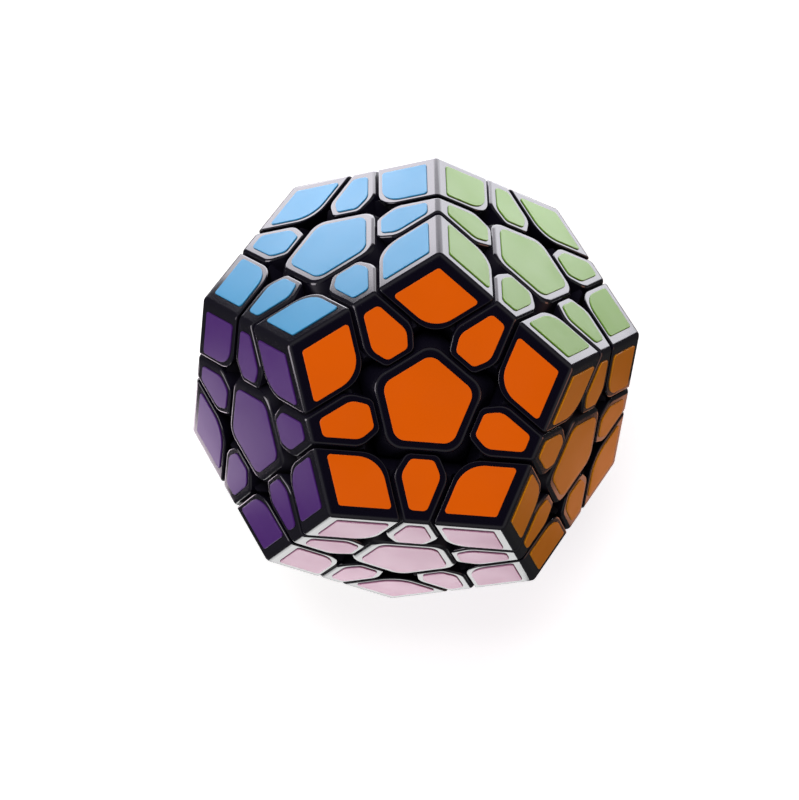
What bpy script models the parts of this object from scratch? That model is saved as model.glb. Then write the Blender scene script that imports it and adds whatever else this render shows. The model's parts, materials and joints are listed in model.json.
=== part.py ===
"""A twelve-colour dodecahedron layer puzzle: a core, 12 centres, 30 edges and 20 corners.

The middle of the puzzle is the origin. Every layer turns about an axis from the middle through its face.
The pieces hold each other: each edge and corner has a neck and a wider foot inside, and the feet hook under
the neighbouring pieces. Necks and feet are bounded by cones about the turning axes, so a layer turns freely.
"""

import itertools
import math

import bmesh
import bpy
from mathutils import Matrix, Vector

MM = 0.001

# Driving dimensions
EDGE = 30 * MM  # one edge of the dodecahedron
CUT = 22.95 * MM  # from the middle to the cut under each layer
GAP = 0.3 * MM  # least space between any two pieces
CENTRE_SETBACK = 0.75 * MM  # of a centre's walls behind the cuts
EDGE_SETBACK = 0.55 * MM  # of an edge's side walls behind the cuts
EDGE_REACH = 0.25 * MM  # of an edge's inner walls past the cuts
CORNER_SETBACK = 0.05 * MM  # of a corner's walls outside the cuts
RIM = 0.35 * MM  # chamfer around each outer face of an edge or corner
CENTRE_RIM = 0.5 * MM
RIDGE_RIM = 0.7 * MM  # chamfer where two outer faces of a piece meet
CENTRE_ROUNDING = 3.8 * MM  # corners of the pentagonal centre caps
CORNER_ROUNDING = 6 * MM  # inner corner of each face of a corner piece
EDGE_TAPER = math.radians(28)  # of an edge piece's inner end, seen from above
EDGE_TAPER_START = 8.2 * MM  # from the ridge to where the taper begins

# The hidden joint between the pieces
NECK_ANGLE = math.radians(44)  # of the cones that bound the necks
FOOT_ANGLE = math.radians(50.5)  # of the cones that bound the feet
FOOT_TOP = 28.5 * MM  # distance from the middle at which the feet end and the necks begin
FOOT_BOTTOM = 22 * MM
EDGE_SPREAD = math.radians(24)  # how far an edge's necks follow their cones to each side
CORNER_SPREAD = math.radians(16)
FOOT_TIP_ANGLE = math.radians(17)  # how far a corner's foot reaches from its own middle line
NECK_TOP = 34 * MM  # inside the caps

# The core, the stalks of the centres, and the screws
CORE_FACE = 13.5 * MM  # from the middle to each of the core's twelve faces
CORE_WALL = 2 * MM
POST_RADIUS = 3.8 * MM
POST_TOP = 20 * MM
POST_BORE_RADIUS = 1.6 * MM
STALK_RADIUS = 4.3 * MM
SPRING_ROOM_RADIUS = 3.2 * MM
SPRING_ROOM = (21.5 * MM, 30.3 * MM)  # lowest and highest point of the room for the spring and the head
SCREW_HOLE_RADIUS = 1.7 * MM
SHANK_RADIUS = 1.1 * MM
SPRING_RADIUS = 1.9 * MM
SPRING_BOTTOM = 21.9 * MM
HEAD_RADIUS = 2.6 * MM
HEAD = (28 * MM, 29.4 * MM)  # lowest and highest point of a screw's head
HUB_RADIUS = 2.0 * MM

# The pockets that make the pieces light
EDGE_POCKET = (4.6 * MM, 1.7 * MM, 34.5 * MM)  # half length, half width, and how far out it reaches
CORNER_WALL = 1.6 * MM
CORNER_HOLE_RADIUS = 1.7 * MM

PEG_RADIUS = 0.9 * MM
PEG_ANGLE = math.radians(48)  # from the axis of the bottom face
PEG_HALF = 1.5 * MM  # half its length
SEAM = 0.05 * MM  # how far a joined shape stays inside its neighbour's faces, so that none coincide
OVERLAP = 0.5 * MM  # of two shapes that are joined end to end
SAME_POINT = 0.002 * MM  # corners nearer than this are merged
SAME_PLANE = math.radians(0.3)  # faces that differ by less are merged

FACE_ANGLE = math.atan(2)  # between the axes of two neighbouring faces
HALF_LEAN = math.radians(18)  # of a layer's cut from square to the next ridge, seen on a face
FACE = EDGE * math.sqrt(250 + 110 * math.sqrt(5)) / 20  # from the middle to each face
UP = Vector((0, 0, 1))


def ring_axis(degrees):
    """The axis of a face next to the top one, at this angle about +Z."""
    turn = math.radians(degrees)
    side = Vector((math.cos(turn), math.sin(turn), 0))
    return UP * math.cos(FACE_ANGLE) + side * math.sin(FACE_ANGLE)


AXES = {
    "orange": UP,
    "light_green": ring_axis(54),
    "light_blue": ring_axis(126),
    "purple": ring_axis(198),
    "pink": ring_axis(270),
    "yellow": ring_axis(342),
}
OPPOSITE = {
    "dark_green": "light_green",
    "dark_blue": "light_blue",
    "white": "purple",
    "grey": "pink",
    "cream": "yellow",
    "red": "orange",
}
AXES.update({name: -AXES[other] for name, other in OPPOSITE.items()})
BOTTOM = "red"


def neighbours(first, second):
    return abs(AXES[first].dot(AXES[second]) - math.cos(FACE_ANGLE)) < 0.01


# ---- Planes, each an outward unit normal and a distance from the middle


def leaning(axis, toward, angle, turn=0.0):
    """A direction that leans from the axis by an angle, first towards another direction and then turned."""
    side = (toward - axis * toward.dot(axis)).normalized()
    side = Matrix.Rotation(turn, 3, axis) @ side
    return axis * math.cos(angle) + side * math.sin(angle)


def inside_cone(axis, toward, angle, spread, count):
    """Planes that keep a shape within a cone about the axis, along the stretch of it nearest to toward."""
    planes = []
    apex = axis * (GAP / 2 / math.sin(angle))
    turns = [spread * (2 * i / count - 1) for i in range(count + 1)]
    for low, high in itertools.pairwise(turns):
        normal = leaning(axis, toward, angle, low).cross(leaning(axis, toward, angle, high)).normalized()
        if normal.dot(axis) > 0:
            normal = -normal
        planes.append((normal, normal.dot(apex)))
    return planes


def outside_cone(axis, toward, angle, clearance=GAP / 2):
    """The plane that keeps a shape on toward's side of a cone about the axis."""
    return leaning(axis, toward, angle - math.pi / 2), -clearance


def bevelled(first, second, width):
    """The plane of a chamfer of this width along the edge between two planes."""
    total = first[0] + second[0]
    half_angle = math.acos(total.length / 2)
    return total.normalized(), (first[1] + second[1]) / total.length - width * math.sin(half_angle)


def rounded(first, second, radius, count):
    """Planes that round the edge between two planes, all touching one cylinder."""
    cosine = first[0].dot(second[0])
    a, b = first[1] - radius, second[1] - radius
    first_share = (a - b * cosine) / (1 - cosine**2)
    second_share = (b - a * cosine) / (1 - cosine**2)
    middle = first[0] * first_share + second[0] * second_share
    normals = [first[0].slerp(second[0], (i + 1) / (count + 1)) for i in range(count)]
    return [(normal, normal.dot(middle) + radius) for normal in normals]


# ---- Shapes


def mesh_from(shape, name):
    mesh = bpy.data.meshes.new(name)
    shape.to_mesh(mesh)
    shape.free()
    return mesh


def convex(planes):
    """The closed mesh that lies behind every plane."""
    shape = bmesh.new()
    bmesh.ops.create_cube(shape, size=4 * FACE)
    for normal, distance in planes:
        everything = shape.verts[:] + shape.edges[:] + shape.faces[:]
        cut = bmesh.ops.bisect_plane(
            shape, geom=everything, plane_co=normal * distance, plane_no=normal, clear_outer=True
        )
        rim = [item for item in cut["geom_cut"] if isinstance(item, bmesh.types.BMEdge)]
        if rim:
            bmesh.ops.edgeloop_fill(shape, edges=rim)
    bmesh.ops.recalc_face_normals(shape, faces=shape.faces)
    return mesh_from(shape, "convex")


def turned(profile, sides, axis=UP):
    """A closed solid turned about an axis from the middle. The profile's points are (radius, height)."""
    shape = bmesh.new()
    rings = []
    for radius, height in profile:
        circle = bmesh.ops.create_circle(shape, segments=sides, radius=radius)
        bmesh.ops.translate(shape, vec=UP * height, verts=circle["verts"])
        rings.append(circle["verts"])
    for lower, upper in itertools.pairwise(rings):
        for i in range(sides):
            j = (i + 1) % sides
            shape.faces.new((lower[i], lower[j], upper[j], upper[i]))
    shape.faces.new(rings[0])
    shape.faces.new(rings[-1])
    bmesh.ops.recalc_face_normals(shape, faces=shape.faces)
    shape.transform(UP.rotation_difference(axis).to_matrix().to_4x4())
    return mesh_from(shape, "turned")


def rod(radius, low, high, sides, axis=UP):
    return turned([(radius, low), (radius, high)], sides, axis)


def ball(radius):
    shape = bmesh.new()
    bmesh.ops.create_icosphere(shape, subdivisions=2, radius=radius)
    return mesh_from(shape, "ball")


def combined(first, second, operation):
    """The Boolean of two meshes."""
    base = bpy.data.objects.new("base", first)
    tool = bpy.data.objects.new("tool", second)
    for item in (base, tool):
        bpy.context.scene.collection.objects.link(item)
    modifier = base.modifiers.new("cut", "BOOLEAN")
    modifier.operation = operation
    modifier.solver = "EXACT"
    modifier.object = tool
    seen = base.evaluated_get(bpy.context.evaluated_depsgraph_get())
    result = bpy.data.meshes.new_from_object(seen)
    for item in (base, tool):
        bpy.data.objects.remove(item)
    return result


def joined(*meshes):
    result = meshes[0]
    for mesh in meshes[1:]:
        result = combined(result, mesh, "UNION")
    return result


def hollowed(mesh, *cutters):
    for cutter in cutters:
        mesh = combined(mesh, cutter, "DIFFERENCE")
    return mesh


def tidied(mesh):
    """Merges faces that lie in one plane, which the Booleans leave split."""
    shape = bmesh.new()
    shape.from_mesh(mesh)
    bmesh.ops.remove_doubles(shape, verts=shape.verts, dist=SAME_POINT)
    bmesh.ops.dissolve_limit(shape, angle_limit=SAME_PLANE, verts=shape.verts, edges=shape.edges)
    bmesh.ops.triangulate(shape, faces=shape.faces)
    shape.to_mesh(mesh)
    shape.free()
    return mesh


def placed(mesh, rotation):
    copy = mesh.copy()
    copy.transform(rotation.to_4x4())
    return copy


# ---- The three kinds of piece, each at one place of the puzzle


def frame_of(direction, toward):
    """A rotation matrix whose Z is the direction and whose X leans towards another direction."""
    z = direction.normalized()
    x = (toward - z * toward.dot(z)).normalized()
    return Matrix((x, z.cross(x), z)).transposed()


def place_of(names):
    """The frame of the piece that belongs to these faces."""
    axes = [AXES[name] for name in names]
    toward = axes[0]
    if len(names) == 1:
        toward = next(AXES[other] for other in AXES if neighbours(names[0], other))
    return frame_of(sum(axes, Vector()), toward)


def centre_mesh():
    """The orange centre: a pentagonal cap with a stalk that the screw and its spring go through."""
    ring = [AXES[name] for name in ("light_green", "light_blue", "purple", "pink", "yellow")]
    top = (UP, FACE)
    walls = [(axis, CUT - CENTRE_SETBACK) for axis in ring]
    corners = []
    for i, wall in enumerate(walls):
        corners += rounded(wall, walls[i - 1], CENTRE_ROUNDING, 2)
    rims = [bevelled(top, wall, CENTRE_RIM) for wall in walls + corners]
    flanks = [outside_cone(axis, UP, NECK_ANGLE) for axis in ring]
    # The feet below reach to a sphere, and this plane touches it where they come nearest to the stalk
    underside = (FOOT_TOP + GAP / 2) * math.cos(FACE_ANGLE - FOOT_ANGLE)
    cap = convex([top, (-UP, -underside), *walls, *corners, *rims, *flanks])
    stalk = rod(STALK_RADIUS, POST_TOP + GAP, FOOT_TOP, 10)
    room = rod(SPRING_ROOM_RADIUS, *SPRING_ROOM, 8)
    hole = rod(SCREW_HOLE_RADIUS, POST_TOP, sum(SPRING_ROOM) / 2, 6)
    return tidied(hollowed(joined(cap, stalk), joined(room, hole)))


def edge_mesh():
    """The orange and pink edge: two outer faces, a wide neck, and a foot that reaches under both centres."""
    first, second = AXES["orange"], AXES["pink"]
    middle = (first + second).normalized()
    ridge = first.cross(second).normalized()
    ends = [AXES["purple"], AXES["yellow"]]
    outer = [(first, FACE), (second, FACE)]
    walls = [(-first, EDGE_REACH - CUT), (-second, EDGE_REACH - CUT)]
    sides = [(axis, CUT - EDGE_SETBACK) for axis in ends]
    end_angle = math.acos(middle.dot(ends[0]))
    neck_sides = [outside_cone(axis, middle, NECK_ANGLE) for axis in ends]
    # Corner feet pass below the neck's ends, up to a sphere that this height clears
    neck_bottom = (FOOT_TOP + GAP / 2) * math.cos(end_angle - FOOT_ANGLE)
    ridge_half = EDGE / 2 - (FACE - CUT + EDGE_SETBACK) / math.sin(FACE_ANGLE) / math.cos(HALF_LEAN)

    rims = [bevelled(*outer, RIDGE_RIM)]
    tapers = []
    for face, other, wall in ((0, 1, walls[1]), (1, 0, walls[0])):
        face_axis = outer[face][0]
        inward = (face_axis * face_axis.dot(outer[other][0]) - outer[other][0]).normalized()
        ridge_at = math.sqrt((middle * FACE / middle.dot(face_axis)).length_squared - FACE**2)
        for sign, side in zip((-1, 1), sides):
            along = ridge * sign if (ridge * sign).dot(side[0]) > 0 else -ridge * sign
            normal = along * math.cos(EDGE_TAPER) + inward * math.sin(EDGE_TAPER)
            widest = ridge_half + math.tan(HALF_LEAN) * EDGE_TAPER_START
            start = along * widest + inward * (EDGE_TAPER_START - ridge_at)
            taper = (normal, normal.dot(start))
            tapers.append(taper)
            rims.append(bevelled(outer[face], side, RIM))
        rims.append(bevelled(outer[face], wall, RIM))
    cap = convex([*outer, *walls, *sides, *neck_sides, *tapers, *rims, (-middle, -neck_bottom)])

    neck_planes = [(-middle, -neck_bottom - SEAM), (middle, NECK_TOP)]
    for axis in (first, second):
        neck_planes += inside_cone(axis, middle, NECK_ANGLE, EDGE_SPREAD, 2)
    neck_planes += [outside_cone(axis, middle, NECK_ANGLE, GAP / 2 + SEAM) for axis in ends]
    neck_planes += [(axis, CUT - EDGE_SETBACK - SEAM) for axis in ends]
    neck = convex(neck_planes)

    column_planes = [(-middle, -(FOOT_BOTTOM + FOOT_TOP) / 2), (middle, neck_bottom + OVERLAP)]
    foot_planes = [(-middle, -FOOT_BOTTOM)]
    reach = FOOT_ANGLE - FACE_ANGLE / 2
    # The foot's top follows the sphere in flat steps, which stay inside it also at the foot's four corners
    top_radius = (FOOT_TOP - GAP / 2) * math.cos(end_angle - FOOT_ANGLE)
    steps = [reach * share / 3 for share in (-3, -1, 1, 3)]
    for low, high in itertools.pairwise(steps):
        half = (high - low) / 2
        direction = leaning(middle, second, (low + high) / 2)
        foot_planes.append((direction, top_radius * math.cos(half)))
    for axis in (first, second):
        column_planes += inside_cone(axis, middle, NECK_ANGLE, EDGE_SPREAD / 2, 1)
        foot_planes += inside_cone(axis, middle, FOOT_ANGLE, EDGE_SPREAD / 2, 1)
    column_planes += [outside_cone(axis, middle, FOOT_ANGLE, GAP / 2 + SEAM) for axis in ends]
    foot_planes += [outside_cone(axis, middle, FOOT_ANGLE) for axis in ends]

    half_length, half_width, pocket_top = EDGE_POCKET
    across = middle.cross(ridge)
    pocket_planes = [(middle, pocket_top), (-middle, -(FOOT_BOTTOM - MM))]
    pocket_planes += [(across * sign, half_length) for sign in (-1, 1)]
    pocket_planes += [(ridge * sign, half_width) for sign in (-1, 1)]
    piece = joined(cap, neck, convex(column_planes), convex(foot_planes))
    return tidied(hollowed(piece, convex(pocket_planes)))


def corner_mesh():
    """The orange, pink and yellow corner: three outer faces, a slim neck and a three-sided foot."""
    axes = [AXES[name] for name in ("orange", "pink", "yellow")]
    middle = sum(axes, Vector()).normalized()
    outer = [(axis, FACE) for axis in axes]
    walls = [(-axis, -CUT - CORNER_SETBACK) for axis in axes]
    planes = [*outer, *walls]
    for i in range(3):
        planes.append(bevelled(outer[i], outer[i - 1], RIDGE_RIM))
        inner_corner = rounded(walls[i - 1], walls[i - 2], CORNER_ROUNDING, 2)
        planes += inner_corner
        planes += [bevelled(outer[i], plane, RIM) for plane in (walls[i - 1], walls[i - 2], *inner_corner)]
    cap = convex(planes)

    top = (FOOT_TOP - GAP / 2) * math.cos(FOOT_TIP_ANGLE)
    neck_planes = [(-middle, -(FOOT_BOTTOM + FOOT_TOP) / 2), (middle, NECK_TOP)]
    foot_planes = [(-middle, -FOOT_BOTTOM), (middle, top)]
    for axis in axes:
        neck_planes += inside_cone(axis, middle, NECK_ANGLE, CORNER_SPREAD, 2)
        foot_planes += inside_cone(axis, middle, FOOT_ANGLE, CORNER_SPREAD, 2)
        foot_planes.append((leaning(middle, axis, math.pi / 2), top * math.tan(FOOT_TIP_ANGLE)))
    solid = joined(cap, convex(neck_planes), convex(foot_planes))

    room = convex(
        [(axis, FACE - CORNER_WALL) for axis in axes]
        + [(-axis, -CUT - CORNER_SETBACK - CORNER_WALL) for axis in axes]
    )
    hole = rod(CORNER_HOLE_RADIUS, FOOT_BOTTOM - MM, NECK_TOP, 6, middle)
    return tidied(hollowed(solid, joined(room, hole)))


# ---- The middle of the puzzle


def core_mesh():
    """A hollow twelve-sided body with a bored post for a screw on each face."""
    body = convex([(axis, CORE_FACE) for axis in AXES.values()])
    for axis in AXES.values():
        body = joined(body, rod(POST_RADIUS, CORE_FACE - CORE_WALL / 2, POST_TOP, 8, axis))
    body = hollowed(body, convex([(axis, CORE_FACE - CORE_WALL) for axis in AXES.values()]))
    for axis in AXES.values():
        body = hollowed(body, rod(POST_BORE_RADIUS, CORE_FACE - 2 * CORE_WALL, POST_TOP + MM, 6, axis))
    return tidied(body)


def screws_mesh():
    """Twelve screws with a spring under each head. Thin tips join them in the middle of the core."""
    profile = [
        (SHANK_RADIUS, HUB_RADIUS / 2),
        (SHANK_RADIUS, SPRING_BOTTOM),
        (SPRING_RADIUS, SPRING_BOTTOM),
        (SPRING_RADIUS, HEAD[0]),
        (HEAD_RADIUS, HEAD[0]),
        (HEAD_RADIUS, HEAD[1]),
    ]
    body = ball(HUB_RADIUS)
    for axis in AXES.values():
        body = joined(body, turned(profile, 6, axis))
    return tidied(body)


# ---- The model


def finish_of(name, colour, roughness, metallic):
    material = bpy.data.materials.new(name)
    material.use_nodes = True
    shader = material.node_tree.nodes["Principled BSDF"]
    shader.inputs["Base Color"].default_value = (*colour, 1)
    shader.inputs["Roughness"].default_value = roughness
    shader.inputs["Metallic"].default_value = metallic
    return material


def add(name, mesh, material, rotation=None):
    """Adds a named sub-part. Its origin is the puzzle's middle, which lies on every turning axis."""
    if not mesh.materials:
        mesh.materials.append(material)
    item = bpy.data.objects.new(name, mesh)
    if rotation is not None:
        item.matrix_world = rotation.to_4x4()
    bpy.context.scene.collection.objects.link(item)
    return item


def bottom_pair_mesh(name, centre, edge):
    """A lower centre joined by a hidden peg to its edge on the bottom face, which always move together."""
    axis = leaning(AXES[BOTTOM], AXES[name], PEG_ANGLE)
    peg = rod(PEG_RADIUS, FOOT_TOP - PEG_HALF, FOOT_TOP + PEG_HALF, 6, axis)
    return tidied(joined(centre, peg, edge))


def main():
    for item in list(bpy.data.objects):
        bpy.data.objects.remove(item)

    plastic = finish_of("black_plastic", (0.012, 0.012, 0.015), 0.28, 0.0)
    core_plastic = finish_of("core_plastic", (0.05, 0.05, 0.055), 0.45, 0.0)
    steel = finish_of("screw_steel", (0.55, 0.55, 0.57), 0.3, 1.0)

    add("core", core_mesh(), core_plastic)
    add("screws_and_springs", screws_mesh(), steel)

    masters = {1: centre_mesh(), 2: edge_mesh(), 3: corner_mesh()}
    homes = {1: ("orange",), 2: ("orange", "pink"), 3: ("orange", "pink", "yellow")}
    words = {1: "centre", 2: "edge", 3: "corner"}
    for count, master in masters.items():
        home = place_of(homes[count]).transposed()
        for names in itertools.combinations(AXES, count):
            if not all(neighbours(a, b) for a, b in itertools.combinations(names, 2)):
                continue
            rotation = place_of(names) @ home
            if count == 1 and neighbours(names[0], BOTTOM):
                pair = (names[0], BOTTOM)
                edge = placed(masters[2], place_of(pair) @ place_of(homes[2]).transposed())
                mesh = bottom_pair_mesh(names[0], placed(master, rotation), edge)
                add(f"centre_{names[0]}_with_edge_{names[0]}_{BOTTOM}", mesh, plastic)
            elif not (count == 2 and BOTTOM in names):
                add("_".join((words[count], *names)), master, plastic, rotation)


main()
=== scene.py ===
"""The looks of a twelve-colour dodecahedron layer puzzle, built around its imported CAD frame."""

import itertools
import json
import math

import bmesh
import bpy
from mathutils import Matrix, Vector


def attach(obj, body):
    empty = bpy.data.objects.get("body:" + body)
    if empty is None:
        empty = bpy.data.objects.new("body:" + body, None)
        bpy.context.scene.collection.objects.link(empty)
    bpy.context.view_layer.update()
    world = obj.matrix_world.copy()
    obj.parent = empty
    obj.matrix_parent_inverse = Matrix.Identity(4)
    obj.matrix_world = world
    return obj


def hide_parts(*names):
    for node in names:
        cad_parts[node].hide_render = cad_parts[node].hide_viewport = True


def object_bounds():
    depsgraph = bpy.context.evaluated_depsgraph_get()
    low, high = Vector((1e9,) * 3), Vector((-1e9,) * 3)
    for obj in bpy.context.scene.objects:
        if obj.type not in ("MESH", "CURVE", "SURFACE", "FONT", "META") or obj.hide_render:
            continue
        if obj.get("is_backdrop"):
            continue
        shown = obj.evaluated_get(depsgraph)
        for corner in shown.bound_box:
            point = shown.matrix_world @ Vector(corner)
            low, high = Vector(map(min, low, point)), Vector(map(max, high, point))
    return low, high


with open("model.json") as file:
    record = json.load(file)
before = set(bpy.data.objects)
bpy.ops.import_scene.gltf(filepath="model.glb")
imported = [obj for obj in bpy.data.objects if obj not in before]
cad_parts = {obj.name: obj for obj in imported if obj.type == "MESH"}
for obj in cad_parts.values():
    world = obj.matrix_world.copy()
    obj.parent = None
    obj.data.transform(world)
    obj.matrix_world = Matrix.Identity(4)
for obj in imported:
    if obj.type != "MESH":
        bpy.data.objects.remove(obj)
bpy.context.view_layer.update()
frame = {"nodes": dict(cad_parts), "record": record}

MM = 0.001

# ---- The puzzle's dimensions, as in the CAD

EDGE = 30 * MM
CUT = 22.95 * MM
GAP = 0.3 * MM
CENTRE_SETBACK = 0.75 * MM
EDGE_SETBACK = 0.55 * MM
EDGE_REACH = 0.25 * MM
CORNER_SETBACK = 0.05 * MM
CENTRE_ROUNDING = 3.8 * MM
CORNER_ROUNDING = 6 * MM
EDGE_TAPER = math.radians(28)
EDGE_TAPER_START = 8.2 * MM
NECK_ANGLE = math.radians(44)
FOOT_ANGLE = math.radians(50.5)
FOOT_TOP = 28.5 * MM
FOOT_BOTTOM = 22 * MM
FOOT_TIP_ANGLE = math.radians(17)
NECK_TOP = 34 * MM
EDGE_SPREAD = math.radians(24)
CORNER_SPREAD = math.radians(16)
POST_TOP = 20 * MM
STALK_RADIUS = 4.3 * MM
SPRING_ROOM_RADIUS = 3.2 * MM
SPRING_ROOM = (21.5 * MM, 30.3 * MM)
SCREW_HOLE_RADIUS = 1.7 * MM
EDGE_POCKET = (4.6 * MM, 1.7 * MM, 34.5 * MM)
CORNER_WALL = 1.6 * MM
CORNER_HOLE_RADIUS = 1.7 * MM
SEAM = 0.05 * MM
OVERLAP = 0.5 * MM

FACE_ANGLE = math.atan(2)
HALF_LEAN = math.radians(18)
FACE = EDGE * math.sqrt(250 + 110 * math.sqrt(5)) / 20
FACE_INRADIUS = EDGE * math.sqrt(25 + 10 * math.sqrt(5)) / 10
UP = Vector((0, 0, 1))

# ---- Roundings and stickers

RIM_RADIUS = 0.42 * MM
CENTRE_RIM_RADIUS = 0.55 * MM
RIDGE_RADIUS = 1.25 * MM
EDGE_SHOULDER_ROUNDING = 2.6 * MM  # where an edge's side wall meets its taper
EDGE_END_ROUNDING = 1.3 * MM  # where the taper meets the inner wall
POLISHED_DEPTH = 1.2 * MM  # the walls are polished down to this depth below the faces
FILM = 0.2 * MM  # how far a sticker stands above the plastic
FILM_EDGE = 0.1 * MM  # rounding of its upper edge
SUNK = 0.03 * MM  # how far its underside lies in the plastic
CENTRE_STICKER_INRADIUS = 6.72 * MM
CENTRE_STICKER_ROUNDING = 2.3 * MM
# An edge's sticker from the ridge inwards: half width, distance from the face's middle, and rounding
EDGE_STICKER = ((1.5, 18.55, 1.0), (3.42, 12.45, 2.6), (2.0, 9.7, 1.1))  # mm
CORNER_STICKER_OUTER_RIM = 2.0 * MM  # bare plastic along the ridges
CORNER_STICKER_INNER_RIM = 1.02 * MM  # from the cuts
CORNER_STICKER_ROUNDING = (0.6 * MM, 0.55 * MM, 5.2 * MM, 0.55 * MM)
SAME_PLANE = 0.01 * MM
SAME_POINT = 0.004 * MM

# ---- Light and camera

FLOOR_HALF = 3.0
FLOOR_GLOW = 0.59  # what the floor adds to its own light where the camera sees it
FLOOR_DIM = 0.05  # the floor's brightness in reflections and for bounced light
PANEL_HEIGHT = 1 * MM  # of the floor panels above the floor
# Sky brightness against height, from the horizon at 0 to overhead at 1: for matt surfaces, and in reflections
SOFT_SKY = ((0, 0.62), (0.4, 0.57), (0.75, 0.4), (0.9, 0.1), (1, 0.04))
# The soft sky's tint towards +X, where a warm dim surface stands beside the puzzle
SHADED_SIDE = (0.33, 0.115, 0.14)
MIRRORED_SKY = ((0, 0.07), (0.3, 0.16), (0.6, 0.19), (0.82, 0.04), (0.93, 0.008), (1, 0.005))
# Panels on the floor, which the side faces mirror: left, right, front and rear in mm, radiance, colour
FLOOR_PANELS = (
    ("panel_rear_left", (-62, 0, 45, 122), 4.5, (0.99, 0.96, 1.04)),
    ("panel_rear_right", (0, 95, 45, 122), 3.5, (0.98, 0.97, 1.04)),
    ("panel_rear_outer", (-72, 95, 122, 180), 2.0, (0.99, 0.96, 1.04)),
    ("panel_rear_far_left", (-72, -62, 45, 122), 3.2, (0.99, 0.96, 1.04)),
    ("panel_front", (-45, 30, -140, -58), 2.5, (1.0, 1.0, 1.0)),
    ("panel_left", (-69, -50, -41, -10), 4.0, (1.0, 0.86, 0.97)),
    ("panel_right", (52, 70, -38, -8), 1.2, (1.0, 0.4, 0.22)),
)
# Upright panels: place, size, radiance, colour
SIDE_PANELS = (
    ("panel_upright_left", (-0.3, -0.03, 0.05), (0.18, 0.14), 2.8, (1.0, 0.92, 1.0)),
    ("panel_upright_right", (0.3, -0.03, 0.04), (0.16, 0.1), 1.2, (1.0, 0.45, 0.32)),
)
# Soft boxes, which light the puzzle but aren't mirrored in it: place, size, radiance
SOFT_BOXES = (
    ("key", (-0.15, 0.43, 0.68), (0.5, 0.4), 5.2),
    ("fill", (0.1, -0.55, 0.5), (0.4, 0.3), 1.9),
)
CAMERA_PLACE = (-0.04063, 0.05059, 0.51998)
CAMERA_RIGHT = (0.99431, 0.08473, 0.06453)
CAMERA_UP = (-0.07741, 0.99108, -0.1085)
LENS = 130.09
SENSOR_WIDTH = 36


def ring_axis(degrees):
    """The axis of a face next to the top one, at this angle about +Z."""
    turn = math.radians(degrees)
    side = Vector((math.cos(turn), math.sin(turn), 0))
    return UP * math.cos(FACE_ANGLE) + side * math.sin(FACE_ANGLE)


AXES = {
    "orange": UP,
    "light_green": ring_axis(54),
    "light_blue": ring_axis(126),
    "purple": ring_axis(198),
    "pink": ring_axis(270),
    "yellow": ring_axis(342),
}
OPPOSITE = {
    "dark_green": "light_green",
    "dark_blue": "light_blue",
    "white": "purple",
    "grey": "pink",
    "cream": "yellow",
    "red": "orange",
}
AXES.update({name: -AXES[other] for name, other in OPPOSITE.items()})
BOTTOM = "red"
STICKER_COLOURS = {
    "orange": (0.89, 0.13, 0.0),
    "light_green": (0.21, 0.42, 0.055),
    "light_blue": (0.055, 0.325, 0.595),
    "purple": (0.08, 0.018, 0.182),
    "pink": (0.64, 0.28, 0.45),
    "yellow": (0.84, 0.3, 0.005),
    "dark_green": (0.012, 0.19, 0.055),
    "dark_blue": (0.008, 0.045, 0.36),
    "white": (0.84, 0.84, 0.83),
    "grey": (0.24, 0.25, 0.27),
    "cream": (0.86, 0.76, 0.49),
    "red": (0.60, 0.014, 0.018),
}


def neighbours(first, second):
    return abs(AXES[first].dot(AXES[second]) - math.cos(FACE_ANGLE)) < 0.01


# ---- Planes, each an outward unit normal and a distance from the middle


def leaning(axis, toward, angle, turn=0.0):
    """A direction that leans from the axis by an angle, first towards another direction and then turned."""
    side = (toward - axis * toward.dot(axis)).normalized()
    side = Matrix.Rotation(turn, 3, axis) @ side
    return axis * math.cos(angle) + side * math.sin(angle)


def inside_cone(axis, toward, angle, spread, count):
    """Planes that keep a shape within a cone about the axis, along the stretch of it nearest to toward."""
    planes = []
    apex = axis * (GAP / 2 / math.sin(angle))
    turns = [spread * (2 * i / count - 1) for i in range(count + 1)]
    for low, high in itertools.pairwise(turns):
        normal = leaning(axis, toward, angle, low).cross(leaning(axis, toward, angle, high)).normalized()
        if normal.dot(axis) > 0:
            normal = -normal
        planes.append((normal, normal.dot(apex)))
    return planes


def outside_cone(axis, toward, angle, clearance=GAP / 2):
    """The plane that keeps a shape on toward's side of a cone about the axis."""
    return leaning(axis, toward, angle - math.pi / 2), -clearance


def rounded(first, second, radius, count):
    """Planes that round the edge between two planes, all touching one cylinder."""
    cosine = first[0].dot(second[0])
    a, b = first[1] - radius, second[1] - radius
    first_share = (a - b * cosine) / (1 - cosine**2)
    second_share = (b - a * cosine) / (1 - cosine**2)
    middle = first[0] * first_share + second[0] * second_share
    normals = [first[0].slerp(second[0], (i + 1) / (count + 1)) for i in range(count)]
    return [(normal, normal.dot(middle) + radius) for normal in normals]


# ---- Shapes


def mesh_from(shape, name):
    mesh = bpy.data.meshes.new(name)
    shape.to_mesh(mesh)
    shape.free()
    return mesh


def convex_shape(planes):
    """The closed shape that lies behind every plane."""
    shape = bmesh.new()
    bmesh.ops.create_cube(shape, size=4 * FACE)
    for normal, distance in planes:
        everything = shape.verts[:] + shape.edges[:] + shape.faces[:]
        cut = bmesh.ops.bisect_plane(
            shape, geom=everything, plane_co=normal * distance, plane_no=normal, clear_outer=True
        )
        rim = [item for item in cut["geom_cut"] if isinstance(item, bmesh.types.BMEdge)]
        if rim:
            bmesh.ops.edgeloop_fill(shape, edges=rim)
    bmesh.ops.remove_doubles(shape, verts=shape.verts, dist=SAME_POINT)
    bmesh.ops.recalc_face_normals(shape, faces=shape.faces)
    return shape


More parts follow.
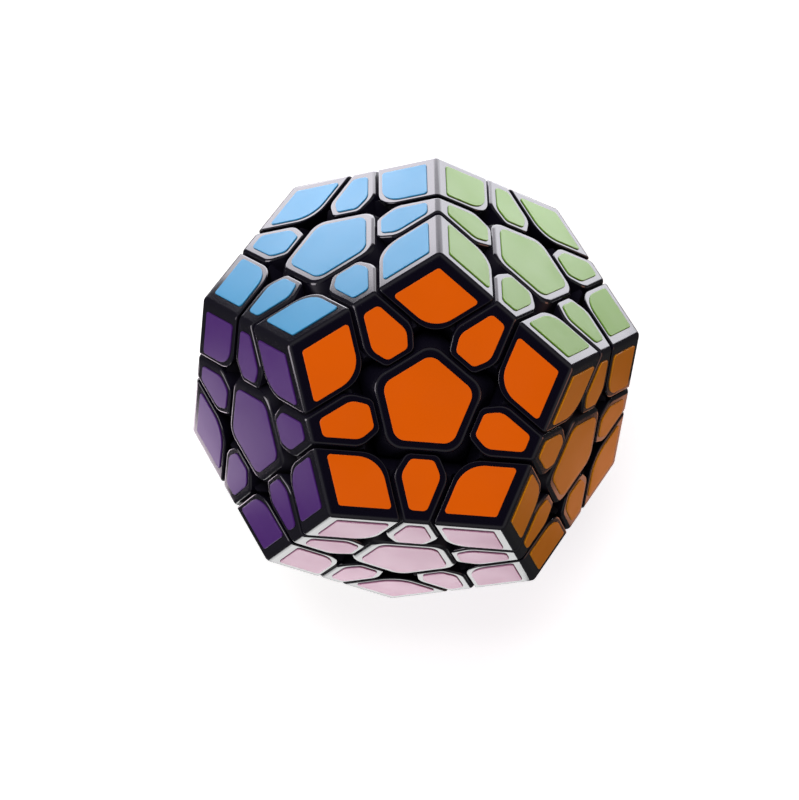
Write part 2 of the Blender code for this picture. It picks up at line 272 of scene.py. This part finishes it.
def convex(planes):
    return mesh_from(convex_shape(planes), "convex")


def cap(planes, axes, rim_radius):
    """A convex cap with filleted ridges between its outer faces and filleted rims around them."""
    shape = convex_shape(planes)

    def outer(face):
        point = face.verts[0].co
        facing = [axis for axis in axes if face.normal.dot(axis) > 0.9999]
        return any(abs(point.dot(axis) - FACE) < SAME_PLANE for axis in facing)

    skin = {face for face in shape.faces if outer(face)}
    ridges = [e for e in shape.edges if all(face in skin for face in e.link_faces)]
    if ridges:
        tangent = RIDGE_RADIUS * math.tan(FACE_ANGLE / 2)
        made = bmesh.ops.bevel(
            shape, geom=ridges, offset=tangent, offset_type="OFFSET", segments=7, profile=0.5, affect="EDGES"
        )
        skin = {face for face in shape.faces if outer(face)} | set(made["faces"])
    rims = [e for e in shape.edges if sum(face in skin for face in e.link_faces) == 1]
    bmesh.ops.bevel(
        shape, geom=rims, offset=rim_radius, offset_type="OFFSET", segments=4, profile=0.5, affect="EDGES"
    )
    bmesh.ops.recalc_face_normals(shape, faces=shape.faces)
    return mesh_from(shape, "cap")


def turned(profile, sides, axis=UP):
    """A closed solid turned about an axis from the middle. The profile's points are (radius, height)."""
    shape = bmesh.new()
    rings = []
    for radius, height in profile:
        circle = bmesh.ops.create_circle(shape, segments=sides, radius=radius)
        bmesh.ops.translate(shape, vec=UP * height, verts=circle["verts"])
        rings.append(circle["verts"])
    for lower, upper in itertools.pairwise(rings):
        for i in range(sides):
            j = (i + 1) % sides
            shape.faces.new((lower[i], lower[j], upper[j], upper[i]))
    shape.faces.new(rings[0])
    shape.faces.new(rings[-1])
    bmesh.ops.recalc_face_normals(shape, faces=shape.faces)
    shape.transform(UP.rotation_difference(axis).to_matrix().to_4x4())
    return mesh_from(shape, "turned")


def rod(radius, low, high, sides, axis=UP):
    return turned([(radius, low), (radius, high)], sides, axis)


def combined(first, second, operation):
    """The Boolean of two meshes."""
    base = bpy.data.objects.new("base", first)
    tool = bpy.data.objects.new("tool", second)
    for item in (base, tool):
        bpy.context.scene.collection.objects.link(item)
    modifier = base.modifiers.new("cut", "BOOLEAN")
    modifier.operation = operation
    modifier.solver = "EXACT"
    modifier.object = tool
    seen = base.evaluated_get(bpy.context.evaluated_depsgraph_get())
    result = bpy.data.meshes.new_from_object(seen)
    for item in (base, tool):
        bpy.data.objects.remove(item)
    return result


def joined(*meshes):
    result = meshes[0]
    for mesh in meshes[1:]:
        result = combined(result, mesh, "UNION")
    return result


def hollowed(mesh, *cutters):
    for cutter in cutters:
        mesh = combined(mesh, cutter, "DIFFERENCE")
    return mesh


def frame_of(direction, toward):
    """A rotation matrix whose Z is the direction and whose X leans towards another direction."""
    z = direction.normalized()
    x = (toward - z * toward.dot(z)).normalized()
    return Matrix((x, z.cross(x), z)).transposed()


def place_of(names):
    """The frame of the piece that belongs to these faces."""
    axes = [AXES[name] for name in names]
    toward = axes[0]
    if len(names) == 1:
        toward = next(AXES[other] for other in AXES if neighbours(names[0], other))
    return frame_of(sum(axes, Vector()), toward)


# ---- The three kinds of piece, each at one place of the puzzle


def centre_mesh():
    """The orange centre: a pentagonal cap with a stalk that the screw and its spring go through."""
    ring = [AXES[name] for name in ("light_green", "light_blue", "purple", "pink", "yellow")]
    walls = [(axis, CUT - CENTRE_SETBACK) for axis in ring]
    corners = []
    for i, wall in enumerate(walls):
        corners += rounded(wall, walls[i - 1], CENTRE_ROUNDING, 8)
    flanks = [outside_cone(axis, UP, NECK_ANGLE) for axis in ring]
    underside = (FOOT_TOP + GAP / 2) * math.cos(FACE_ANGLE - FOOT_ANGLE)
    top = cap([(UP, FACE), (-UP, -underside), *walls, *corners, *flanks], [UP], CENTRE_RIM_RADIUS)
    stalk = rod(STALK_RADIUS, POST_TOP + GAP, FOOT_TOP, 32)
    room = rod(SPRING_ROOM_RADIUS, *SPRING_ROOM, 24)
    hole = rod(SCREW_HOLE_RADIUS, POST_TOP, sum(SPRING_ROOM) / 2, 20)
    return hollowed(joined(top, stalk), joined(room, hole))


def edge_mesh():
    """The orange and pink edge: two outer faces, a wide neck, and a foot that reaches under both centres."""
    first, second = AXES["orange"], AXES["pink"]
    middle = (first + second).normalized()
    ridge = first.cross(second).normalized()
    ends = [AXES["purple"], AXES["yellow"]]
    outer = [(first, FACE), (second, FACE)]
    walls = [(-first, EDGE_REACH - CUT), (-second, EDGE_REACH - CUT)]
    sides = [(axis, CUT - EDGE_SETBACK) for axis in ends]
    end_angle = math.acos(middle.dot(ends[0]))
    neck_sides = [outside_cone(axis, middle, NECK_ANGLE) for axis in ends]
    neck_bottom = (FOOT_TOP + GAP / 2) * math.cos(end_angle - FOOT_ANGLE)
    ridge_half = EDGE / 2 - (FACE - CUT + EDGE_SETBACK) / math.sin(FACE_ANGLE) / math.cos(HALF_LEAN)

    tapers = []
    for face, other, wall in ((0, 1, walls[1]), (1, 0, walls[0])):
        face_axis = outer[face][0]
        inward = (face_axis * face_axis.dot(outer[other][0]) - outer[other][0]).normalized()
        ridge_at = math.sqrt((middle * FACE / middle.dot(face_axis)).length_squared - FACE**2)
        for sign, side in zip((-1, 1), sides):
            along = ridge * sign if (ridge * sign).dot(side[0]) > 0 else -ridge * sign
            normal = along * math.cos(EDGE_TAPER) + inward * math.sin(EDGE_TAPER)
            widest = ridge_half + math.tan(HALF_LEAN) * EDGE_TAPER_START
            start = along * widest + inward * (EDGE_TAPER_START - ridge_at)
            taper = (normal, normal.dot(start))
            tapers.append(taper)
            tapers += rounded(side, taper, EDGE_SHOULDER_ROUNDING, 5)
            tapers += rounded(taper, wall, EDGE_END_ROUNDING, 4)
    planes = [*outer, *walls, *sides, *neck_sides, *tapers, (-middle, -neck_bottom)]
    top = cap(planes, [first, second], RIM_RADIUS)

    neck_planes = [(-middle, -neck_bottom - SEAM), (middle, NECK_TOP)]
    for axis in (first, second):
        neck_planes += inside_cone(axis, middle, NECK_ANGLE, EDGE_SPREAD, 4)
    neck_planes += [outside_cone(axis, middle, NECK_ANGLE, GAP / 2 + SEAM) for axis in ends]
    neck_planes += [(axis, CUT - EDGE_SETBACK - SEAM) for axis in ends]

    column_planes = [(-middle, -(FOOT_BOTTOM + FOOT_TOP) / 2), (middle, neck_bottom + OVERLAP)]
    foot_planes = [(-middle, -FOOT_BOTTOM)]
    reach = FOOT_ANGLE - FACE_ANGLE / 2
    top_radius = (FOOT_TOP - GAP / 2) * math.cos(end_angle - FOOT_ANGLE)
    steps = [reach * share / 3 for share in (-3, -1, 1, 3)]
    for low, high in itertools.pairwise(steps):
        direction = leaning(middle, second, (low + high) / 2)
        foot_planes.append((direction, top_radius * math.cos((high - low) / 2)))
    for axis in (first, second):
        column_planes += inside_cone(axis, middle, NECK_ANGLE, EDGE_SPREAD / 2, 2)
        foot_planes += inside_cone(axis, middle, FOOT_ANGLE, EDGE_SPREAD / 2, 2)
    column_planes += [outside_cone(axis, middle, FOOT_ANGLE, GAP / 2 + SEAM) for axis in ends]
    foot_planes += [outside_cone(axis, middle, FOOT_ANGLE) for axis in ends]

    half_length, half_width, pocket_top = EDGE_POCKET
    across = middle.cross(ridge)
    pocket_planes = [(middle, pocket_top), (-middle, -(FOOT_BOTTOM - MM))]
    pocket_planes += [(across * sign, half_length) for sign in (-1, 1)]
    pocket_planes += [(ridge * sign, half_width) for sign in (-1, 1)]
    piece = joined(top, convex(neck_planes), convex(column_planes), convex(foot_planes))
    return hollowed(piece, convex(pocket_planes))


def corner_mesh():
    """The orange, pink and yellow corner: three outer faces, a slim neck and a three-sided foot."""
    axes = [AXES[name] for name in ("orange", "pink", "yellow")]
    middle = sum(axes, Vector()).normalized()
    walls = [(-axis, -CUT - CORNER_SETBACK) for axis in axes]
    planes = [*((axis, FACE) for axis in axes), *walls]
    for i in range(3):
        planes += rounded(walls[i - 1], walls[i - 2], CORNER_ROUNDING, 12)
    top = cap(planes, axes, RIM_RADIUS)

    height = (FOOT_TOP - GAP / 2) * math.cos(FOOT_TIP_ANGLE)
    neck_planes = [(-middle, -(FOOT_BOTTOM + FOOT_TOP) / 2), (middle, NECK_TOP)]
    foot_planes = [(-middle, -FOOT_BOTTOM), (middle, height)]
    for axis in axes:
        neck_planes += inside_cone(axis, middle, NECK_ANGLE, CORNER_SPREAD, 4)
        foot_planes += inside_cone(axis, middle, FOOT_ANGLE, CORNER_SPREAD, 4)
        foot_planes.append((leaning(middle, axis, math.pi / 2), height * math.tan(FOOT_TIP_ANGLE)))
    solid = joined(top, convex(neck_planes), convex(foot_planes))
    room = convex(
        [(axis, FACE - CORNER_WALL) for axis in axes]
        + [(-axis, -CUT - CORNER_SETBACK - CORNER_WALL) for axis in axes]
    )
    hole = rod(CORNER_HOLE_RADIUS, FOOT_BOTTOM - MM, NECK_TOP, 20, middle)
    return hollowed(solid, joined(room, hole))


# ---- Stickers


def softened(points, radii, steps=8):
    """A flat outline with its corners rounded to these radii."""
    points = [Vector(p) for p in points]
    result = []
    for i, corner in enumerate(points):
        before = (points[i - 1] - corner).normalized()
        after = (points[(i + 1) % len(points)] - corner).normalized()
        half = math.acos(max(-1, min(1, before.dot(after)))) / 2
        middle = corner + (before + after).normalized() * radii[i] / math.sin(half)
        start = corner + before * radii[i] / math.tan(half) - middle
        sweep = start.angle_signed(corner + after * radii[i] / math.tan(half) - middle)
        for step in range(steps + 1):
            result.append(middle + Matrix.Rotation(-sweep * step / steps, 2) @ start)
    return result


def sticker_mesh(axis, toward, outline):
    """A thin film on a face. The outline's points are (along the face's ridge, outward from its middle)."""
    out = (toward - axis * toward.dot(axis)).normalized()
    along = axis.cross(out)
    centre = sum(outline, Vector((0, 0))) / len(outline)
    rings = []
    shape = bmesh.new()
    steps = [math.radians(angle) for angle in (0, 22.5, 45, 67.5, 90)]
    rounding = [(FILM_EDGE * (1 - math.cos(a)), FILM - FILM_EDGE * (1 - math.sin(a))) for a in steps]
    for inset, height in [(0, -SUNK), *rounding]:
        ring = []
        count = len(outline)
        for i, point in enumerate(outline):
            tangent = (outline[(i + 1) % count] - outline[i - 1]).normalized()
            normal = Vector((-tangent.y, tangent.x))
            if normal.dot(centre - point) < 0:
                normal = -normal
            moved = point + normal * inset
            ring.append(shape.verts.new(axis * (FACE + height) + along * moved.x + out * moved.y))
        rings.append(ring)
    for lower, upper in itertools.pairwise(rings):
        for i in range(len(lower)):
            j = (i + 1) % len(lower)
            shape.faces.new((lower[i], lower[j], upper[j], upper[i]))
    shape.faces.new(rings[0])
    shape.faces.new(rings[-1])
    bmesh.ops.recalc_face_normals(shape, faces=shape.faces)
    # The sides and underside take the second slot, painted near-black: painted shade along each sticker's
    # edge.
    for face in shape.faces:
        face.material_index = 0 if face.normal.dot(axis) > 0.25 else 1
    return mesh_from(shape, "sticker")


def corner_between(first, second):
    """The point where two lines cross, each (unit normal, distance)."""
    (a, d), (b, e) = first, second
    det = a.x * b.y - a.y * b.x
    return Vector(((d * b.y - e * a.y) / det, (a.x * e - b.x * d) / det))


def centre_stickers():
    """Each sticker of a kind of piece: its face's axis, a neighbour's axis, and the outline."""
    spread = CENTRE_STICKER_INRADIUS / math.cos(math.pi / 5)
    turns = [math.pi / 5 * (2 * i + 1) for i in range(5)]
    corners = [(spread * math.sin(turn), spread * math.cos(turn)) for turn in turns]
    return [(UP, AXES["pink"], softened(corners, [CENTRE_STICKER_ROUNDING] * 5))]


def edge_stickers():
    half = [(width * MM, out * MM) for width, out, rounding in EDGE_STICKER]
    radii = [rounding * MM for width, out, rounding in EDGE_STICKER]
    points = half + [(-width, out) for width, out in reversed(half)]
    outline = softened(points, radii + radii[::-1])
    first, second = AXES["orange"], AXES["pink"]
    return [(first, second, outline), (second, first, outline)]


def corner_stickers():
    names = ("orange", "pink", "yellow")
    found = []
    cut_at = (CUT - FACE * math.cos(FACE_ANGLE)) / math.sin(FACE_ANGLE)
    for i in range(3):
        axis, one, two = (AXES[names[(i + k) % 3]] for k in range(3))
        out = (one - axis * one.dot(axis)).normalized()
        along = axis.cross(out)
        other = (two - axis * two.dot(axis)).normalized()
        normals = (Vector((0, 1)), Vector((other.dot(along), other.dot(out))))
        far = [(normal, FACE_INRADIUS - CORNER_STICKER_OUTER_RIM) for normal in normals]
        near = [(normal, cut_at + CORNER_STICKER_INNER_RIM) for normal in normals]
        sides = ((far[0], far[1]), (far[0], near[1]), (near[0], near[1]), (near[0], far[1]))
        points = [corner_between(*pair) for pair in sides]
        found.append((axis, one, softened(points, CORNER_STICKER_ROUNDING, 12)))
    return found


# ---- Materials


def nodes_of(material):
    material.use_nodes = True
    tree = material.node_tree
    return tree, tree.nodes["Principled BSDF"]


def grain(tree, scale, detail, seed, coordinates):
    """Noise in the piece's own coordinates."""
    noise = tree.nodes.new("ShaderNodeTexNoise")
    noise.noise_dimensions = "4D"
    noise.inputs["Scale"].default_value = scale
    noise.inputs["Detail"].default_value = detail
    noise.inputs["W"].default_value = seed
    tree.links.new(coordinates.outputs["Object"], noise.inputs["Vector"])
    return noise


def ramp(tree, source, low, high, to_low, to_high):
    """Maps one range of values to another."""
    node = tree.nodes.new("ShaderNodeMapRange")
    node.inputs["From Min"].default_value = low
    node.inputs["From Max"].default_value = high
    node.inputs["To Min"].default_value = to_low
    node.inputs["To Max"].default_value = to_high
    tree.links.new(source, node.inputs["Value"])
    return node


def bumped(tree, shader, height, strength, distance):
    bump = tree.nodes.new("ShaderNodeBump")
    bump.inputs["Strength"].default_value = strength
    bump.inputs["Distance"].default_value = distance
    tree.links.new(height, bump.inputs["Height"])
    tree.links.new(bump.outputs["Normal"], shader.inputs["Normal"])


def plastic_material(name, colour, roughness, ior):
    """Moulded plastic with uneven gloss and a faint grain."""
    material = bpy.data.materials.new(name)
    tree, shader = nodes_of(material)
    coordinates = tree.nodes.new("ShaderNodeTexCoord")
    shader.inputs["Base Color"].default_value = (*colour, 1)
    shader.inputs["IOR"].default_value = ior
    smears = grain(tree, 90, 4, 1.7, coordinates)
    spread = ramp(tree, smears.outputs["Fac"], 0.35, 0.68, roughness * 0.8, roughness * 1.35)
    tree.links.new(spread.outputs["Result"], shader.inputs["Roughness"])
    fine = grain(tree, 1500, 2, 4.1, coordinates)
    bumped(tree, shader, fine.outputs["Fac"], 0.35, 0.004 * MM)
    return material


def sticker_material(name, colour):
    """Vinyl film with a slightly uneven tone and gloss."""
    material = bpy.data.materials.new(name)
    tree, shader = nodes_of(material)
    coordinates = tree.nodes.new("ShaderNodeTexCoord")
    tone = grain(tree, 60, 3, 2.3, coordinates)
    blend = tree.nodes.new("ShaderNodeMix")
    blend.data_type = "RGBA"
    blend.inputs["A"].default_value = (*(min(1, c * 0.955) for c in colour), 1)
    blend.inputs["B"].default_value = (*(min(1, c * 1.03) for c in colour), 1)
    share = ramp(tree, tone.outputs["Fac"], 0.3, 0.7, 0, 1)
    tree.links.new(share.outputs["Result"], blend.inputs["Factor"])
    tree.links.new(blend.outputs["Result"], shader.inputs["Base Color"])
    shader.inputs["IOR"].default_value = 1.45
    smears = grain(tree, 140, 4, 5.9, coordinates)
    spread = ramp(tree, smears.outputs["Fac"], 0.33, 0.7, 0.3, 0.4)
    tree.links.new(spread.outputs["Result"], shader.inputs["Roughness"])
    peel = grain(tree, 900, 1, 7.7, coordinates)
    bumped(tree, shader, peel.outputs["Fac"], 0.2, 0.0015 * MM)
    return material


def steel_material(name):
    """Turned steel with uneven gloss."""
    material = bpy.data.materials.new(name)
    tree, shader = nodes_of(material)
    shader.inputs["Base Color"].default_value = (0.55, 0.55, 0.57, 1)
    shader.inputs["Metallic"].default_value = 1
    coordinates = tree.nodes.new("ShaderNodeTexCoord")
    marks = grain(tree, 700, 3, 3.3, coordinates)
    spread = ramp(tree, marks.outputs["Fac"], 0.3, 0.7, 0.22, 0.42)
    tree.links.new(spread.outputs["Result"], shader.inputs["Roughness"])
    return material


def floor_material(name):
    """White to the eye, with a soft shadow. Reflections and bounced light see it dim."""
    material = bpy.data.materials.new(name)
    tree, shader = nodes_of(material)
    shader.inputs["Base Color"].default_value = (0.9, 0.9, 0.9, 1)
    shader.inputs["Roughness"].default_value = 0.9
    shader.inputs["Emission Color"].default_value = (1, 1, 1, 1)
    shader.inputs["Emission Strength"].default_value = FLOOR_GLOW
    dim = tree.nodes.new("ShaderNodeEmission")
    dim.inputs["Color"].default_value = (1, 1, 1, 1)
    dim.inputs["Strength"].default_value = FLOOR_DIM
    path = tree.nodes.new("ShaderNodeLightPath")
    choice = tree.nodes.new("ShaderNodeMixShader")
    tree.links.new(path.outputs["Is Camera Ray"], choice.inputs["Fac"])
    tree.links.new(dim.outputs["Emission"], choice.inputs[1])
    tree.links.new(shader.outputs["BSDF"], choice.inputs[2])
    tree.links.new(choice.outputs["Shader"], tree.nodes["Material Output"].inputs["Surface"])
    return material


# ---- Building

black = plastic_material("black_plastic_moulded", (0.0045, 0.0035, 0.0095), 0.13, 1.9)
# The inside black is a touch lighter than the outer black: painted light that lifts the shade deep in the
# gaps.
matte = plastic_material("black_plastic_inside_painted_light", (0.0065, 0.0052, 0.0125), 0.5, 1.5)
core_black = plastic_material("core_plastic_moulded", (0.045, 0.045, 0.05), 0.42, 1.5)
steel = steel_material("screw_steel_turned")
# The sticker sides are painted near-black, a painted shade line around each sticker.
film_side_painted_shade = plastic_material("sticker_film_side", (0.012, 0.012, 0.015), 0.5, 1.4)
films = {name: sticker_material("sticker_film_" + name, colour) for name, colour in STICKER_COLOURS.items()}

bodies = frame["record"]["behaviour"]["bodies"]
body_of = {node: body for body, nodes in bodies.items() for node in nodes}


def add(name, master, materials, rotation, body):
    """Adds a copy of a kind's mesh at its place on the puzzle, riding on its body."""
    mesh = master.copy()
    mesh.transform(rotation.to_4x4())
    item = bpy.data.objects.new(name, mesh)
    bpy.context.scene.collection.objects.link(item)
    for i, material in enumerate(materials):
        mesh.materials[i] = material
    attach(item, body)
    return item


def matte_inside(mesh, axes):
    """The walls deeper than the rims are plain moulded plastic, not polished, and a touch lighter than the
    outer black: painted light in the shade of the gaps.
    """
    mesh.materials.append(matte)
    for polygon in mesh.polygons:
        depth = min(FACE - polygon.center.dot(axis) for axis in axes)
        if depth > POLISHED_DEPTH:
            polygon.material_index = 1


def finished(mesh, slots, angle=40):
    """Gives a mesh its material slots, and smooth shading except across edges sharper than the angle."""
    mesh.materials.clear()
    for material in slots:
        mesh.materials.append(material)
    for polygon in mesh.polygons:
        polygon.use_smooth = True
    mesh.set_sharp_from_angle(angle=math.radians(angle))
    return mesh


def weighted(item):
    modifier = item.modifiers.new("flat_faces_stay_flat", "WEIGHTED_NORMAL")
    modifier.keep_sharp = True
    modifier.weight = 90


words = {1: "centre", 2: "edge", 3: "corner"}
homes = {1: ("orange",), 2: ("orange", "pink"), 3: ("orange", "pink", "yellow")}
masters = {1: centre_mesh(), 2: edge_mesh(), 3: corner_mesh()}
masters = {count: finished(mesh, [black]) for count, mesh in masters.items()}
for count, mesh in masters.items():
    matte_inside(mesh, [AXES[name] for name in homes[count]])
outlines = {1: centre_stickers(), 2: edge_stickers(), 3: corner_stickers()}
films_at = {count: [] for count in outlines}
for count, stickers in outlines.items():
    for axis, toward, outline in stickers:
        mesh = finished(sticker_mesh(axis, toward, outline), [black, film_side_painted_shade], 50)
        films_at[count].append((axis, mesh))

for count in (1, 2, 3):
    home = place_of(homes[count]).transposed()
    for names in itertools.combinations(AXES, count):
        if not all(neighbours(a, b) for a, b in itertools.combinations(names, 2)):
            continue
        rotation = place_of(names) @ home
        piece = "_".join((words[count], *names))
        node = piece
        if node not in body_of:
            node = f"centre_{names[0]}_with_edge_{names[0]}_{BOTTOM}"
        body = body_of[node]
        item = add("plastic_" + piece, masters[count], [black, matte], rotation, body)
        weighted(item)
        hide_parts(node)
        for axis, mesh in films_at[count]:
            turned_axis = rotation @ axis
            colour = max(AXES, key=lambda other: AXES[other].dot(turned_axis))
            name = f"sticker_{colour}_on_{piece}"
            film = add(name, mesh, [films[colour], film_side_painted_shade], rotation, body)
            weighted(film)

for node, material in (("core", core_black), ("screws_and_springs", steel)):
    for slot in frame["nodes"][node].material_slots:
        slot.material = material

# ---- Stage, light and camera

low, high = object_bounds()
floor_mesh = bpy.data.meshes.new("floor")
floor_corners = [(x * FLOOR_HALF, y * FLOOR_HALF, low.z) for x, y in ((-1, -1), (1, -1), (1, 1), (-1, 1))]
floor_mesh.from_pydata(floor_corners, [], [(0, 1, 2, 3)])
floor = bpy.data.objects.new("floor", floor_mesh)
bpy.context.scene.collection.objects.link(floor)
floor_mesh.materials.append(floor_material("pale_floor"))
floor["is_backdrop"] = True

world = bpy.data.worlds.new("studio")
bpy.context.scene.world = world
world.use_nodes = True
world.cycles.sampling_method = "NONE"
sky = world.node_tree
background = sky.nodes["Background"]
direction = sky.nodes.new("ShaderNodeTexCoord")
parts = sky.nodes.new("ShaderNodeSeparateXYZ")
sky.links.new(direction.outputs["Generated"], parts.inputs["Vector"])
path = sky.nodes.new("ShaderNodeLightPath")


def sky_ramp(greys):
    """Brightness against height, from the horizon at 0 to overhead at 1."""
    node = sky.nodes.new("ShaderNodeValToRGB")
    elements = node.color_ramp.elements
    for element, (position, grey) in zip(elements, (greys[0], greys[-1])):
        element.position = position
        element.color = (grey, grey, grey, 1)
    for position, grey in greys[1:-1]:
        elements.new(position).color = (grey, grey, grey, 1)
    sky.links.new(parts.outputs["Z"], node.inputs["Fac"])
    return node


def choose(factor, when_off, when_on):
    """One colour or the other, by a factor that is 0 or 1."""
    node = sky.nodes.new("ShaderNodeMix")
    node.data_type = "RGBA"
    sky.links.new(factor, node.inputs["Factor"])
    for source, socket in ((when_off, "A"), (when_on, "B")):
        sky.links.new(source, node.inputs[socket])
    return node.outputs["Result"]


soft = sky_ramp(SOFT_SKY)
mirrored = sky_ramp(MIRRORED_SKY)
seen = sky_ramp(((0, 1), (1, 1)))
shaded = sky.nodes.new("ShaderNodeMix")
shaded.data_type = "RGBA"
shaded.blend_type = "MULTIPLY"
side = ramp(sky, parts.outputs["X"], 0.1, 0.8, 0, 1)
sky.links.new(side.outputs["Result"], shaded.inputs["Factor"])
sky.links.new(soft.outputs["Color"], shaded.inputs["A"])
shaded.inputs["B"].default_value = (*SHADED_SIDE, 1)
light = choose(path.outputs["Is Diffuse Ray"], mirrored.outputs["Color"], shaded.outputs["Result"])
light = choose(path.outputs["Is Camera Ray"], light, seen.outputs["Color"])
sky.links.new(light, background.inputs["Color"])


def area_light(name, place, size, radiance, colour=(1, 1, 1)):
    """A rectangular light that faces the puzzle's middle. The camera doesn't see it."""
    data = bpy.data.lights.new(name, "AREA")
    data.shape = "RECTANGLE"
    data.size, data.size_y = size
    data.energy = radiance * math.pi * size[0] * size[1]
    data.color = colour
    item = bpy.data.objects.new(name, data)
    item.location = place
    item.rotation_mode = "QUATERNION"
    item.rotation_quaternion = (-Vector(place)).to_track_quat("-Z", "Y")
    item.visible_camera = False
    bpy.context.scene.collection.objects.link(item)
    return item


for name, (left, right, front, rear), radiance, colour in FLOOR_PANELS:
    place = ((left + right) / 2 * MM, (front + rear) / 2 * MM, low.z + PANEL_HEIGHT)
    panel = area_light(name, place, ((right - left) * MM, (rear - front) * MM), radiance, colour)
    panel.rotation_mode = "XYZ"
    panel.rotation_euler = (math.pi, 0, 0)

for name, place, size, radiance, colour in SIDE_PANELS:
    area_light(name, place, size, radiance, colour)

for name, place, size, radiance in SOFT_BOXES:
    box = area_light(name, place, size, radiance)
    box.visible_glossy = False

camera = bpy.data.objects.new("camera", bpy.data.cameras.new("camera"))
bpy.context.scene.collection.objects.link(camera)
camera.data.lens = LENS
camera.data.sensor_width = SENSOR_WIDTH
camera.data.clip_start = 0.01
camera.data.clip_end = 20
right = Vector(CAMERA_RIGHT).normalized()
back = right.cross(Vector(CAMERA_UP)).normalized()
turn = Matrix((right, back.cross(right), back)).transposed()
camera.matrix_world = Matrix.Translation(Vector(CAMERA_PLACE)) @ turn.to_4x4()
bpy.context.scene.camera = camera
bpy.context.scene.view_settings.view_transform = "Standard"

low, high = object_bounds()
